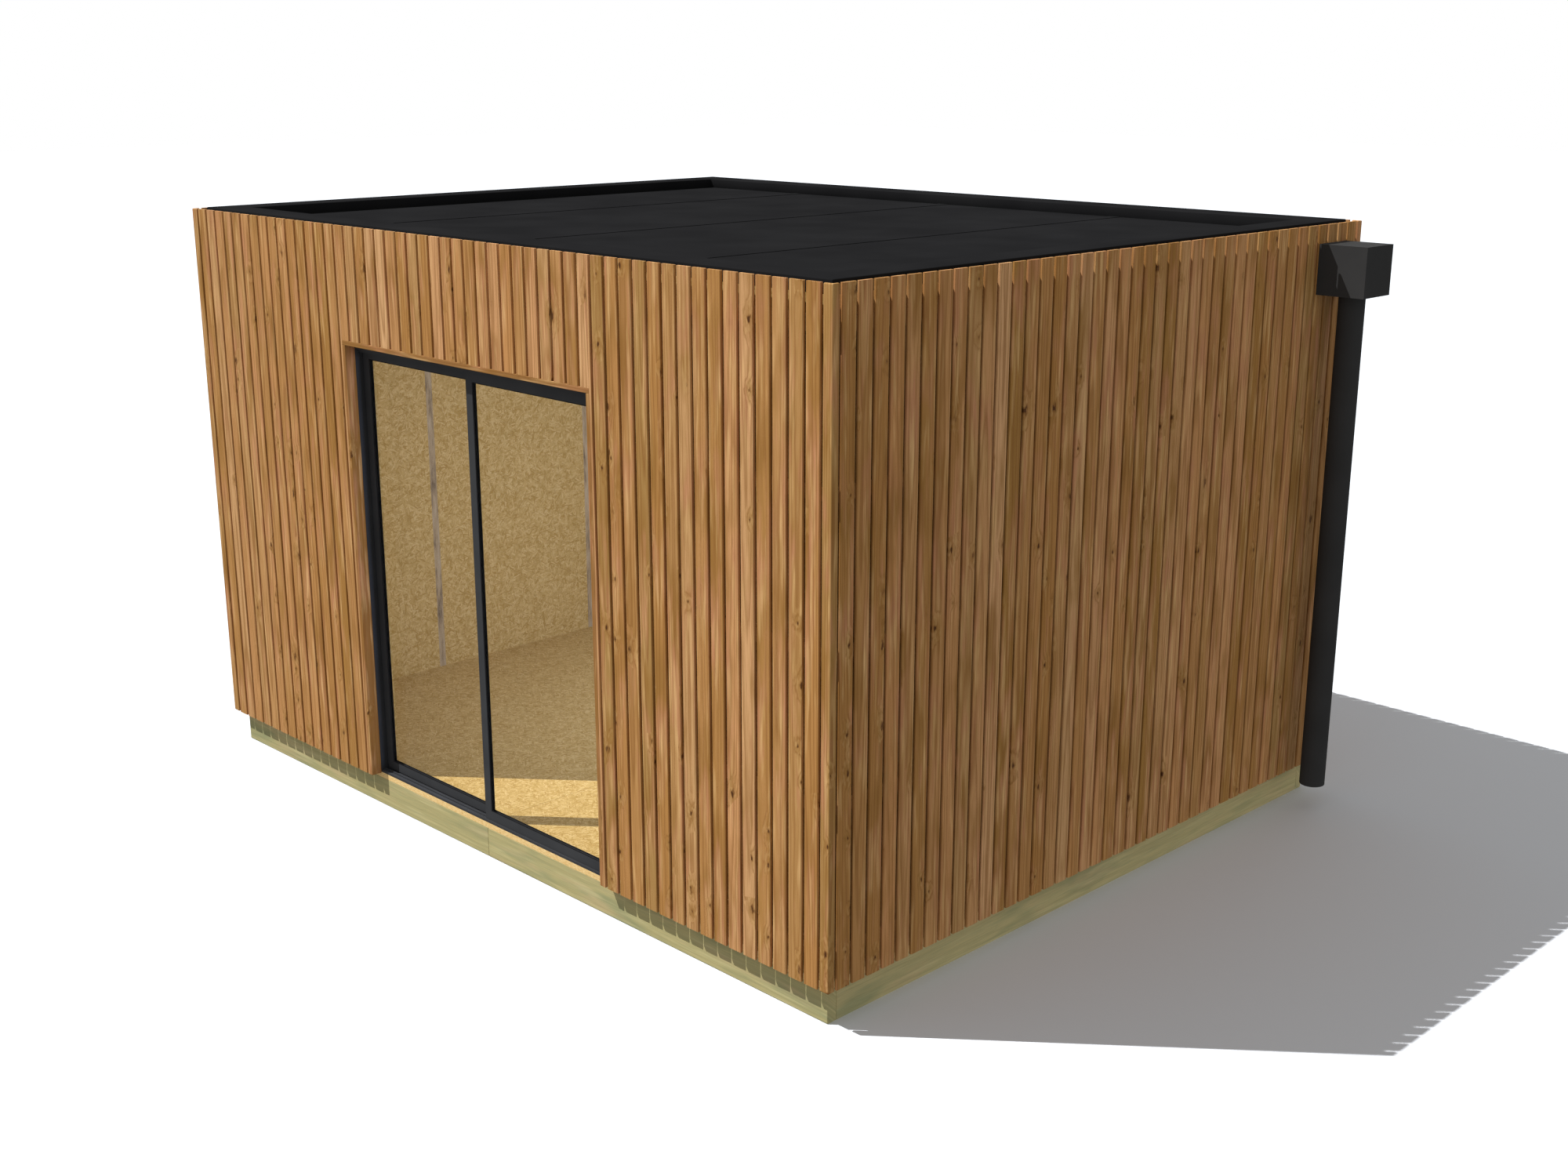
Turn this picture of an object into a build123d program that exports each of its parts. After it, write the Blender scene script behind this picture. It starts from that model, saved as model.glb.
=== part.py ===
"""Garden annex: a flat-roofed timber room on a treated timber base.

Insulated wall and roof panels stand on the base, upright larch boards hang in front of them
on battens, and a two-leaf black aluminium sliding door closes the front.  Rain leaves the roof
by a box hopper and a round downpipe on the right-hand side.

Millimetres, +Z up.  The origin is on the ground at the middle of the base.  The front looks
towards -Y and the right-hand side towards +X.
"""
import os

from build123d import *

# Base
base_width = 4000
base_depth = 3145
base_beam_height = 130
base_beam_thickness = 45
joist_thickness = 45
joist_spacing = 600
floor_deck_thickness = 25

# Wall and roof panels
wall_thickness = 120
wall_panel_pitch = 1000
panel_stud_width = 38
room_height = 2238
roof_panel_thickness = 150
membrane_thickness = 6
kerb_width = 145
kerb_height = 51

# Cladding on battens
cladding_thickness = 12
cladding_ground_gap = 150
kerb_reveal = 6
batten_thickness = 36
batten_height = 50
batten_rows = 5
batten_edge_margin = 110

# Doorway and its timber lining
doorway_width = 1615
over_door_height = 263
lining_thickness = 20

# Sliding door frame
frame_depth = 84
jamb_thickness = 40
frame_head_height = 60
frame_head_drop = 20
sill_thickness = 10
rib_width = 6
track_height = 6
guide_height = 14

# Door leaves
leaf_thickness = 20
leaf_setback = 8
leaf_gap = 6
lock_stile_width = 43
interlock_width = 41
interlock_overlap = 6
top_rail_height = 36
bottom_rail_height = 38
running_clearance = 5
glide_clearance = 0.3
glide_length = 60
glide_inset = 120
glass_thickness = 14
glass_rebate = 10

# Rainwater goods
hopper_width = 212
hopper_projection = 218
hopper_height = 210
hopper_top_drop = 82
hopper_from_rear = 231
hopper_wall = 3
pipe_diameter = 110
pipe_wall = 3.2
pipe_ground_gap = 116

cut_overrun = 10

# Levels above the ground
deck_bottom = base_beam_height
floor_level = deck_bottom + floor_deck_thickness
ceiling_level = floor_level + room_height
roof_panel_top = ceiling_level + roof_panel_thickness
kerb_top = roof_panel_top + kerb_height
cladding_top = kerb_top - kerb_reveal
head_top = ceiling_level - over_door_height
head_soffit = head_top - frame_head_height
lining_soffit = head_soffit + frame_head_drop
lining_top = lining_soffit + lining_thickness
sill_top = floor_level + sill_thickness
track_top = sill_top + track_height

# Faces seen in plan
half_width = base_width / 2
half_depth = base_depth / 2
batten_face_x = half_width + batten_thickness
batten_face_y = half_depth + batten_thickness
outer_x = batten_face_x + cladding_thickness
outer_y = batten_face_y + cladding_thickness
inner_x = half_width - wall_thickness
inner_y = half_depth - wall_thickness
half_doorway = doorway_width / 2
half_lining = half_doorway + lining_thickness
half_frame = half_doorway + jamb_thickness
frame_front_y = -half_depth
frame_back_y = frame_front_y + frame_depth

# Door leaf places, shared by the frame and the leaves
outer_leaf_front = frame_front_y + leaf_setback
inner_leaf_front = outer_leaf_front + leaf_thickness + leaf_gap
outer_track_y = outer_leaf_front + leaf_thickness / 2
inner_track_y = inner_leaf_front + leaf_thickness / 2
groove_width = rib_width + 2 * running_clearance
sliding_leaf_bottom = sill_top + running_clearance
sliding_leaf_top = head_soffit - running_clearance
sight_bottom = sliding_leaf_bottom + bottom_rail_height
sight_top = sliding_leaf_top - top_rail_height


def slab(x_from, x_to, y_from, y_to, z_from, z_to):
    """A block between two corners."""
    block = Box(x_to - x_from, y_to - y_from, z_to - z_from, align=(Align.MIN, Align.MIN, Align.MIN))
    return Pos(x_from, y_from, z_from) * block


def save(name, *solids):
    """Write one node; pieces of a kind that do not touch share it."""
    shape = solids[0] if len(solids) == 1 else Compound(children=list(solids))
    export_step(shape, f"parts/{name}.step")


def row_places(low, high, count):
    """Evenly spaced places from low to high, both ends included."""
    step = (high - low) / (count - 1)
    return [low + step * index for index in range(count)]


def middle_out_places(length, spacing):
    """Places on a spacing either side of the middle, the middle included, inside a length."""
    count = int(length / spacing / 2)
    return [spacing * index for index in range(-count, count + 1)]


def joint_places(length, pitch):
    """Joints between the whole panels that fit about the middle of a length."""
    count = int(length / pitch)
    first = -pitch * (count - 2) / 2
    return [first + pitch * index for index in range(count - 1)]


def split_wall(low, high, stud_centres):
    """Stretches of a wall left between its studs."""
    edges = [low]
    for centre in stud_centres:
        edges.append(centre - panel_stud_width / 2)
        edges.append(centre + panel_stud_width / 2)
    edges.append(high)
    return list(zip(edges[0::2], edges[1::2]))


def build_base():
    """Rim beams, joists between them and the deck that they carry."""
    inside_x = half_width - base_beam_thickness
    inside_y = half_depth - base_beam_thickness
    save("front_base_beam_left", slab(-half_width, 0, -half_depth, -inside_y, 0, deck_bottom))
    save("front_base_beam_right", slab(0, half_width, -half_depth, -inside_y, 0, deck_bottom))
    save("rear_base_beam", slab(-half_width, half_width, inside_y, half_depth, 0, deck_bottom))
    save("left_base_beam", slab(-half_width, -inside_x, -inside_y, inside_y, 0, deck_bottom))
    save("right_base_beam", slab(inside_x, half_width, -inside_y, inside_y, 0, deck_bottom))
    half_joist = joist_thickness / 2
    joists = [
        slab(place - half_joist, place + half_joist, -inside_y, inside_y, 0, deck_bottom)
        for place in middle_out_places(2 * inside_x - joist_thickness, joist_spacing)
    ]
    save("floor_joists", *joists)
    save("floor_deck", slab(-half_width, half_width, -half_depth, half_depth, deck_bottom, floor_level))


def build_walls():
    """Insulated panels with a stud showing at each joint; the front is split about the doorway."""
    front = (-half_depth, -inner_y)
    save("front_wall_left", slab(-half_width, -half_frame, *front, floor_level, ceiling_level))
    save("front_wall_right", slab(half_frame, half_width, *front, floor_level, ceiling_level))
    save("front_wall_over_door", slab(-half_frame, half_frame, *front, head_top, ceiling_level))

    half_stud = panel_stud_width / 2
    studs = []
    side_joints = joint_places(base_depth, wall_panel_pitch)
    for name, near, far in (("left_wall", -half_width, -inner_x), ("right_wall", inner_x, half_width)):
        stretches = split_wall(-inner_y, inner_y, side_joints)
        save(name, *[slab(near, far, low, high, floor_level, ceiling_level) for low, high in stretches])
        for place in side_joints:
            studs.append(slab(near, far, place - half_stud, place + half_stud, floor_level, ceiling_level))

    rear_joints = joint_places(base_width, wall_panel_pitch)
    stretches = split_wall(-half_width, half_width, rear_joints)
    rear = [slab(low, high, inner_y, half_depth, floor_level, ceiling_level) for low, high in stretches]
    save("rear_wall", *rear)
    for place in rear_joints:
        studs.append(
            slab(place - half_stud, place + half_stud, inner_y, half_depth, floor_level, ceiling_level)
        )
    save("wall_panel_studs", *studs)


def build_roof():
    """Roof panel over the walls, a flat kerb round its edge and the membrane inside the kerb."""
    panel = slab(-half_width, half_width, -half_depth, half_depth, ceiling_level, roof_panel_top)
    save("roof_panel", panel)
    kerb_x = half_width - kerb_width
    kerb_y = half_depth - kerb_width
    level = (roof_panel_top, kerb_top)
    save("front_roof_kerb", slab(-half_width, half_width, -half_depth, -kerb_y, *level))
    save("rear_roof_kerb", slab(-half_width, half_width, kerb_y, half_depth, *level))
    save("left_roof_kerb", slab(-half_width, -kerb_x, -kerb_y, kerb_y, *level))
    save("right_roof_kerb", slab(kerb_x, half_width, -kerb_y, kerb_y, *level))
    membrane_top = roof_panel_top + membrane_thickness
    save("roof_membrane", slab(-kerb_x, kerb_x, -kerb_y, kerb_y, roof_panel_top, membrane_top))


def build_battens():
    """Level battens that stand the cladding off the walls; those at the front and rear lap the side ones."""
    low = cladding_ground_gap + batten_edge_margin
    high = cladding_top - batten_edge_margin - batten_height
    rows = row_places(low, high, batten_rows)
    front = (-batten_face_y, -half_depth)
    front_battens = []
    for level in rows:
        if level > lining_top:
            spans = [(-batten_face_x, batten_face_x)]
        else:
            spans = [(-batten_face_x, -half_frame), (half_frame, batten_face_x)]
        for low_x, high_x in spans:
            front_battens.append(slab(low_x, high_x, *front, level, level + batten_height))
    save("front_battens", *front_battens)
    rear = [
        slab(-batten_face_x, batten_face_x, half_depth, batten_face_y, level, level + batten_height)
        for level in rows
    ]
    save("rear_battens", *rear)
    for name, near, far in (
        ("left_battens", -batten_face_x, -half_width),
        ("right_battens", half_width, batten_face_x),
    ):
        side = [slab(near, far, -half_depth, half_depth, level, level + batten_height) for level in rows]
        save(name, *side)


def build_cladding():
    """One slab of upright boards to each stretch of wall, open behind at the top and the foot."""
    front = (-outer_y, -batten_face_y)
    level = (cladding_ground_gap, cladding_top)
    save("front_cladding_left", slab(-outer_x, -half_lining, *front, *level))
    save("front_cladding_right", slab(half_lining, outer_x, *front, *level))
    save("front_cladding_over_door", slab(-half_lining, half_lining, *front, lining_top, cladding_top))
    save("rear_cladding", slab(-outer_x, outer_x, batten_face_y, outer_y, *level))
    save("left_cladding", slab(-outer_x, -batten_face_x, -batten_face_y, batten_face_y, *level))
    save("right_cladding", slab(batten_face_x, outer_x, -batten_face_y, batten_face_y, *level))


def build_lining():
    """Boards that line the doorway from the cladding face back to the door frame."""
    depth = (-outer_y, frame_front_y)
    level = (cladding_ground_gap, lining_soffit)
    save("door_lining_left", slab(-half_lining, -half_doorway, *depth, *level))
    save("door_lining_right", slab(half_doorway, half_lining, *depth, *level))
    save("door_lining_head", slab(-half_lining, half_lining, *depth, lining_soffit, lining_top))


def ribbed_outline(back, face, tip, rib_middles):
    """Section of a frame bar across the wall: flat behind, with a rib on its inner face to each middle."""
    points = [(frame_front_y, back), (frame_front_y, face)]
    for middle in rib_middles:
        near = middle - rib_width / 2
        far = middle + rib_width / 2
        points += [(near, face), (near, tip), (far, tip), (far, face)]
    return points + [(frame_back_y, face), (frame_back_y, back)]


def level_bar(outline, x_from, x_to):
    """A bar that runs along X, from its section in Y and Z."""
    section = make_face(Polyline(*[(x_from, y, z) for y, z in outline], close=True))
    return extrude(section, x_to - x_from, dir=Axis.X.direction)


def upright_bar(outline, z_from, z_to):
    """A bar that stands along Z, from its section in Y and X."""
    section = make_face(Polyline(*[(x, y, z_from) for y, x in outline], close=True))
    return extrude(section, z_to - z_from, dir=Axis.Z.direction)


def build_door_frame():
    """Sill with two tracks, head with two guide ribs, and jambs with one rib, coped over the other bars."""
    tracks = (outer_track_y, inner_track_y)
    sill = level_bar(ribbed_outline(floor_level, sill_top, track_top, tracks), -half_frame, half_frame)
    guide_tip = head_soffit - guide_height
    head = level_bar(ribbed_outline(head_top, head_soffit, guide_tip, tracks), -half_frame, half_frame)
    save("door_sill", sill)
    save("door_head", head)
    rib_face = half_doorway - guide_height
    for name, side, track in (("left", -1, inner_track_y), ("right", 1, outer_track_y)):
        outline = ribbed_outline(side * half_frame, side * half_doorway, side * rib_face, (track,))
        save(f"door_jamb_{name}", upright_bar(outline, sill_top, head_soffit) - sill - head)


def build_leaf(name, stile_x, lock_x, front, bottom, top):
    """A leaf between its interlock stile and its lock stile: a frame, and the glass in its rebate.

    The frame is grooved round its outer edge, where the ribs of the door frame run, except at
    the interlock stile, and rebated round its sight opening for the glass.
    """
    back = front + leaf_thickness
    middle = front + leaf_thickness / 2
    inward = 1 if stile_x > lock_x else -1
    x_from, x_to = sorted((stile_x, lock_x))
    sight = sorted((stile_x - inward * interlock_width, lock_x + inward * lock_stile_width))
    frame = slab(x_from, x_to, front, back, bottom, top)
    frame -= slab(*sight, front - cut_overrun, back + cut_overrun, sight_bottom, sight_top)
    core = sorted((stile_x + inward * 2 * cut_overrun, lock_x + inward * guide_height))
    groove_y = (middle - groove_width / 2, middle + groove_width / 2)
    groove = slab(
        x_from - cut_overrun,
        x_to + cut_overrun,
        *groove_y,
        bottom - cut_overrun,
        top + cut_overrun,
    )
    groove -= slab(*core, *groove_y, bottom + guide_height, top - guide_height)
    glass = slab(
        sight[0] - glass_rebate,
        sight[1] + glass_rebate,
        middle - glass_thickness / 2,
        middle + glass_thickness / 2,
        sight_bottom - glass_rebate,
        sight_top + glass_rebate,
    )
    save(f"{name}_frame", frame - groove - glass)
    save(f"{name}_glass", glass)


def build_door_leaves():
    """The right leaf is fixed on the outer track; the left leaf slides behind it on nylon glides."""
    lock_face = -interlock_width / 2
    leaf_left = -half_doorway + running_clearance
    leaf_right = lock_face + interlock_overlap
    build_leaf("fixed_leaf", lock_face, half_doorway, outer_leaf_front, sill_top, head_soffit)
    build_leaf("sliding_leaf", leaf_right, leaf_left, inner_leaf_front, sliding_leaf_bottom, sliding_leaf_top)
    groove_y = (inner_track_y - groove_width / 2, inner_track_y + groove_width / 2)
    level = (track_top + glide_clearance, sliding_leaf_bottom + guide_height)
    glides = [
        slab(start, start + glide_length, *groove_y, *level)
        for start in (leaf_left + glide_inset, leaf_right - glide_inset - glide_length)
    ]
    save("sliding_leaf_glides", *glides)


def build_rainwater():
    """A box hopper on the right-hand cladding, its lid, and the pipe below it."""
    middle_y = outer_y - hopper_from_rear
    top = kerb_top - hopper_top_drop
    bottom = top - hopper_height
    near_y = middle_y - hopper_width / 2
    far_y = middle_y + hopper_width / 2
    far_x = outer_x + hopper_projection
    lid_bottom = top - hopper_wall
    hopper = slab(outer_x, far_x, near_y, far_y, bottom, lid_bottom)
    hopper -= slab(
        outer_x + hopper_wall,
        far_x - hopper_wall,
        near_y + hopper_wall,
        far_y - hopper_wall,
        bottom + hopper_wall,
        top + cut_overrun,
    )
    pipe_x = outer_x + hopper_projection / 2
    bore_radius = pipe_diameter / 2 - pipe_wall
    lift = (Align.CENTER, Align.CENTER, Align.MIN)
    outlet = Cylinder(bore_radius, hopper_wall + 2 * cut_overrun, align=lift)
    hopper -= Pos(pipe_x, middle_y, bottom - cut_overrun) * outlet
    save("rainwater_hopper", hopper)
    save("hopper_lid", slab(outer_x, far_x, near_y, far_y, lid_bottom, top))
    pipe_length = bottom - pipe_ground_gap
    pipe = Cylinder(pipe_diameter / 2, pipe_length, align=lift)
    pipe -= Pos(0, 0, -cut_overrun) * Cylinder(bore_radius, pipe_length + 2 * cut_overrun, align=lift)
    save("downpipe", Pos(pipe_x, middle_y, pipe_ground_gap) * pipe)


os.makedirs("parts", exist_ok=True)
build_base()
build_walls()
build_roof()
build_battens()
build_cladding()
build_lining()
build_door_frame()
build_door_leaves()
build_rainwater()
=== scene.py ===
"""Looks of the garden annex: larch boards, treated base, rubber roof, black sliding door.

Metres, +Z up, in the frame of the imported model.  The front looks towards -Y and the right-hand
side towards +X.  Each sub-assembly is a class that takes its places from the frame, builds the
pieces that the solids leave out and dresses the solids that stay.
"""
import logging
import math
from abc import ABC, abstractmethod
from collections.abc import Iterable, Sequence
from dataclasses import dataclass, fields, replace
from enum import Enum

import bmesh
import bpy
from mathutils import Matrix, Vector


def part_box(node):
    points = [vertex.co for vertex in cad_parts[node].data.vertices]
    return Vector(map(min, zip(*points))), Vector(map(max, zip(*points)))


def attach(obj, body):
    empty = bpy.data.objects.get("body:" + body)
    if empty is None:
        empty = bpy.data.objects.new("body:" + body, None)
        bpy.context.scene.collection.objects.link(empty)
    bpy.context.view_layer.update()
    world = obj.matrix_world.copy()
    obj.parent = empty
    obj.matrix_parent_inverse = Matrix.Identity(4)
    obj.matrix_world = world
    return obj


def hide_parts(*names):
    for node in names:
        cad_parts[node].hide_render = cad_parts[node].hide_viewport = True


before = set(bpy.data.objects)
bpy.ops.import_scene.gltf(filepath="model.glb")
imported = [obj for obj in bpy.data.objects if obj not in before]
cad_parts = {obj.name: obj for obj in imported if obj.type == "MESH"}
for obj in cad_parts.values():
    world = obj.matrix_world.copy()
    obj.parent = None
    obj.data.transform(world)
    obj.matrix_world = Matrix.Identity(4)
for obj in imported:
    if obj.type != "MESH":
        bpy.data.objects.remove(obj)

LOG = logging.getLogger("garden_annex")
MM = 0.001
# Sockets of a Mix node that mixes colours, and of one that mixes numbers
MIX_COLOUR_A, MIX_COLOUR_B, MIX_COLOUR_OUT = 6, 7, 2
MIX_NUMBER_A, MIX_NUMBER_B = 2, 3
# Sockets of a Random Value node that gives a number
RANDOM_LOW, RANDOM_HIGH, RANDOM_OUT = 2, 3, 1
# How far apart the boards lie in a pattern that tells them apart by their seed
SEED_STRIDE = 173.0
# Edges that turn by more than this are rounded
CORNER_DEGREES = 30.0
# Points nearer to each other than this are one
MERGE_REACH = 0.01 * MM

Tree = bpy.types.NodeTree
Node = bpy.types.Node
Socket = bpy.types.NodeSocket
Feed = Node | Socket
Mesh = bpy.types.Mesh
EditMesh = bmesh.types.BMesh
# The kind of socket that takes a value of a type
SOCKET_KINDS = {
    float: "NodeSocketFloat",
    int: "NodeSocketInt",
    bpy.types.Material: "NodeSocketMaterial",
}


class Body(Enum):
    """What a piece moves with."""

    BUILDING = "building"
    SLIDING_LEAF = "sliding_leaf"


class Slot(Enum):
    """The record's material slots."""

    LARCH_BOARDS = "larch_boards"
    LARCH_LINING = "larch_lining"
    TREATED_TIMBER = "treated_timber"
    STRAND_BOARD = "strand_board"
    RUBBER_MEMBRANE = "rubber_membrane"
    BLACK_ALUMINIUM = "black_aluminium"
    BLACK_RAINWATER = "black_rainwater"


class Axis(Enum):
    """A direction of the frame, as an index into a place."""

    X = 0
    Y = 1
    Z = 2


class Side(Enum):
    """A side of the building, as the turn about Z that brings the front to it, in degrees."""

    FRONT = 0
    RIGHT = 90
    REAR = 180
    LEFT = 270


def linear(hex_colour: str) -> tuple[float, ...]:
    """Turn a colour from sRGB to the linear light that sockets take.

    Args:
        hex_colour: The colour, as "#RRGGBB".

    Returns:
        Red, green, blue and a full alpha.
    """
    channels = [int(hex_colour[start:start + 2], 16) / 255 for start in (1, 3, 5)]
    return (*[c / 12.92 if c <= 0.04045 else ((c + 0.055) / 1.055) ** 2.4 for c in channels], 1.0)


def add_node(
    tree: Tree,
    kind: str,
    links: dict | None = None,
    stops: Sequence[tuple[float, str]] = (),
    **settings: object,
) -> Node:
    """Add one node to a tree.

    Args:
        tree: The tree that gets it.
        kind: Its type, as Blender names it; a shader node's goes without "ShaderNode".
        links: For each input, by name or number, the socket that feeds it, the node whose first
            output feeds it, or its constant.
        stops: Places on a colour ramp, in order, each with its colour.
        settings: The node's own properties.

    Returns:
        The new node.
    """
    node = tree.nodes.new(kind if "Node" in kind else f"ShaderNode{kind}")
    for name, value in settings.items():
        setattr(node, name, value)
    for key, source in (links or {}).items():
        if isinstance(source, Node):
            source = source.outputs[0]
        if isinstance(source, Socket):
            tree.links.new(source, node.inputs[key])
        else:
            node.inputs[key].default_value = source
    if stops:
        elements = node.color_ramp.elements
        for _ in stops[2:]:
            elements.new(1.0)
        for element, (place, colour) in zip(elements, stops):
            element.position = place
            element.color = linear(colour)
    return node


@dataclass(frozen=True)
class Finish(ABC):
    """A surface, named for its material and how it was made."""

    name: str

    @abstractmethod
    def shade(self, tree: Tree) -> Node:
        """Build the surface's nodes.

        Args:
            tree: The tree that gets them.

        Returns:
            The shader that ends them.
        """

    def material(self) -> bpy.types.Material:
        """Make the finish's material on first use.

        Returns:
            The material.
        """
        known = bpy.data.materials.get(self.name)
        if known:
            return known
        material = bpy.data.materials.new(self.name)
        material.use_nodes = True
        tree = material.node_tree
        tree.nodes.clear()
        add_node(tree, "OutputMaterial", {"Surface": self.shade(tree)})
        return material

    def textured(
        self,
        tree: Tree,
        colour: Feed,
        roughness: Feed | float,
        specular: float,
        height: Feed,
        depth_mm: float,
        strength: float = 0.5,
    ) -> Node:
        """End the nodes of an opaque surface with its relief and its shader.

        Args:
            tree: The tree that gets them.
            colour: The surface's colour.
            roughness: Its roughness.
            specular: Its specular level.
            height: The relief that is pressed into it.
            depth_mm: How deep the relief is.
            strength: How much of the relief shows.

        Returns:
            The shader.
        """
        relief = {"Strength": strength, "Distance": depth_mm * MM, "Height": height}
        look = {
            "Base Color": colour,
            "Roughness": roughness,
            "Normal": add_node(tree, "Bump", relief),
            "Specular IOR Level": specular,
        }
        return add_node(tree, "BsdfPrincipled", look)


@dataclass(frozen=True)
class BoardTimber(Finish):
    """Planed softwood boards, each with its own tone, growth rings and knots.

    The pattern lies on each board by three attributes of its mesh: board_seed tells the boards
    apart, and board_across and board_along are the place on the board, in metres.  Pairs of
    millimetres are the typical width and length of a mark.
    """

    tones: tuple[str, ...]
    dark_patch: str
    warm_patch: str
    pale_patch: str
    latewood: str
    knot: str
    knot_rim: str
    growth_mm: float = 8.5
    growth_strength: float = 0.6
    patch_strength: float = 0.8
    knotty_share: float = 0.42
    roughness: tuple[float, float] = (0.6, 0.78)
    specular: float = 0.1
    relief_mm: float = 0.5
    dark_patch_mm: tuple[float, float] = (80.0, 380.0)
    warm_patch_mm: tuple[float, float] = (55.0, 300.0)
    pale_patch_mm: tuple[float, float] = (22.0, 280.0)
    fibre_mm: tuple[float, float] = (2.2, 120.0)
    swirl_mm: tuple[float, float] = (14.0, 34.0)
    wander_mm: tuple[float, float] = (60.0, 700.0)
    wander_reach_mm: float = 16.0
    knot_cell_mm: tuple[float, float] = (84.0, 150.0)
    knot_fray_mm: tuple[float, float] = (9.0, 22.0)
    knot_swell_mm: float = 10.0

    def shade(self, tree: Tree) -> Node:
        """Lay tone, patches, rings, fibres and knots over each other; the rings stand a little proud.

        Args:
            tree: The tree that gets them.

        Returns:
            The shader.
        """
        seed, across, along = (
            add_node(tree, "Attribute", attribute_name=name).outputs["Fac"]
            for name in ("board_seed", "board_across", "board_along")
        )
        place = add_node(tree, "CombineXYZ", {"X": across, "Y": seed, "Z": along})
        luck = add_node(tree, "TexWhiteNoise", {"W": seed}, noise_dimensions="1D")
        chances = add_node(tree, "SeparateColor", {"Color": luck.outputs["Color"]}).outputs
        halo, core, rim = self.knots(tree, place, chances["Red"])
        rings = self.growth_rings(tree, place, chances, halo)
        dark, warm, pale, fibre = (
            self.streaks(tree, place, size)
            for size in (self.dark_patch_mm, self.warm_patch_mm, self.pale_patch_mm, self.fibre_mm)
        )
        swirl = self.streaks(tree, place, self.swirl_mm, detail=1.0)
        curl = add_node(tree, "MapRange", {"Value": swirl, "From Min": 0.5, "From Max": 0.7})
        fleck = add_node(tree, "Math", {0: curl, 1: halo}, operation="MULTIPLY")

        stops = [(index / len(self.tones), tone) for index, tone in enumerate(self.tones)]
        tone = add_node(tree, "ValToRGB", {"Fac": luck}, stops)
        # Colour, strength, mask, and the part of the mask's range over which the colour comes in
        layers = (
            (self.dark_patch, self.patch_strength, dark, 0.48, 0.68),
            (self.warm_patch, self.patch_strength, warm, 0.5, 0.7),
            (self.pale_patch, self.patch_strength, pale, 0.52, 0.76),
            (self.dark_patch, 0.6, fibre, 0.42, 0.75),
            (self.latewood, self.growth_strength, rings, 0.0, 1.0),
            (self.dark_patch, 0.5, halo, 0.0, 1.0),
            (self.pale_patch, 0.2, fleck, 0.05, 0.5),
            (self.knot_rim, 0.75, rim, 0.0, 1.0),
            (self.knot, 0.9, core, 0.0, 1.0),
        )
        for colour, strength, mask, low, high in layers:
            span = {"Value": mask, "From Min": low, "From Max": high, "To Max": strength}
            share = add_node(tree, "MapRange", span)
            blend = {"Factor": share, MIX_COLOUR_A: tone, MIX_COLOUR_B: linear(colour)}
            tone = add_node(tree, "Mix", blend, data_type="RGBA").outputs[MIX_COLOUR_OUT]

        smooth, dull = self.roughness
        rough = add_node(tree, "MapRange", {"Value": fibre, "To Min": smooth, "To Max": dull})
        relief = add_node(tree, "Math", {0: rings, 1: fibre}, operation="ADD")
        return self.textured(tree, tone, rough, self.specular, relief, self.relief_mm)

    def streaks(self, tree: Tree, place: Node, size_mm: tuple[float, float], detail: float = 2.0) -> Node:
        """Draw noise out along the grain, different on each board.

        Args:
            tree: The tree that gets it.
            place: Across, seed and along, as one vector.
            size_mm: Typical width and length of a streak.
            detail: Finer octaves.

        Returns:
            A number about 0.5.
        """
        width, length = (size * MM for size in size_mm)
        scale = (1 / width, SEED_STRIDE, 1 / length)
        drawn = add_node(tree, "VectorMath", {0: place, 1: scale}, operation="MULTIPLY")
        noise = {"Vector": drawn, "Scale": 1.0, "Detail": detail, "Roughness": 0.55}
        return add_node(tree, "TexNoise", noise)

    def growth_rings(self, tree: Tree, place: Node, chances: Sequence[Socket], halo: Node) -> Node:
        """Draw rings about a pith behind the board, which leans and wanders, and swells round knots.

        Args:
            tree: The tree that gets them.
            place: Across, seed and along, as one vector.
            chances: Three random numbers of the board.
            halo: How near a knot is.

        Returns:
            1 on the dark latewood lines, 0 between them.
        """
        steps = add_node(tree, "SeparateXYZ", {"Vector": place}).outputs
        # How far the pith lies aside and behind the face, and how much it leans along the board
        ranges = ((-32 * MM, 32 * MM), (14 * MM, 60 * MM), (-0.016, 0.016))
        pith, depth, lean = (
            add_node(tree, "MapRange", {"Value": chance, "To Min": low, "To Max": high})
            for chance, (low, high) in zip(chances, ranges)
        )
        sideways = add_node(tree, "Math", {0: steps["X"], 1: pith}, operation="SUBTRACT")
        inward = add_node(tree, "Math", {0: lean, 1: steps["Z"], 2: depth}, operation="MULTIPLY_ADD")
        wander = self.streaks(tree, place, self.wander_mm, detail=1.0)
        for source, reach in ((wander, self.wander_reach_mm * MM), (halo, self.knot_swell_mm * MM)):
            inward = add_node(tree, "Math", {0: source, 1: reach, 2: inward}, operation="MULTIPLY_ADD")
        arm = add_node(tree, "CombineXYZ", {"X": sideways, "Y": inward})
        radius = add_node(tree, "VectorMath", {0: arm}, operation="LENGTH").outputs["Value"]
        per_metre = 1 / (self.growth_mm * MM)
        count = add_node(tree, "Math", {0: radius, 1: per_metre}, operation="MULTIPLY")
        phase = add_node(tree, "Math", {0: count}, operation="FRACT")
        stops = ((0.0, "#000000"), (0.45, "#2A2A2A"), (0.82, "#FFFFFF"), (1.0, "#000000"))
        return add_node(tree, "ValToRGB", {"Fac": phase}, stops)

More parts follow.
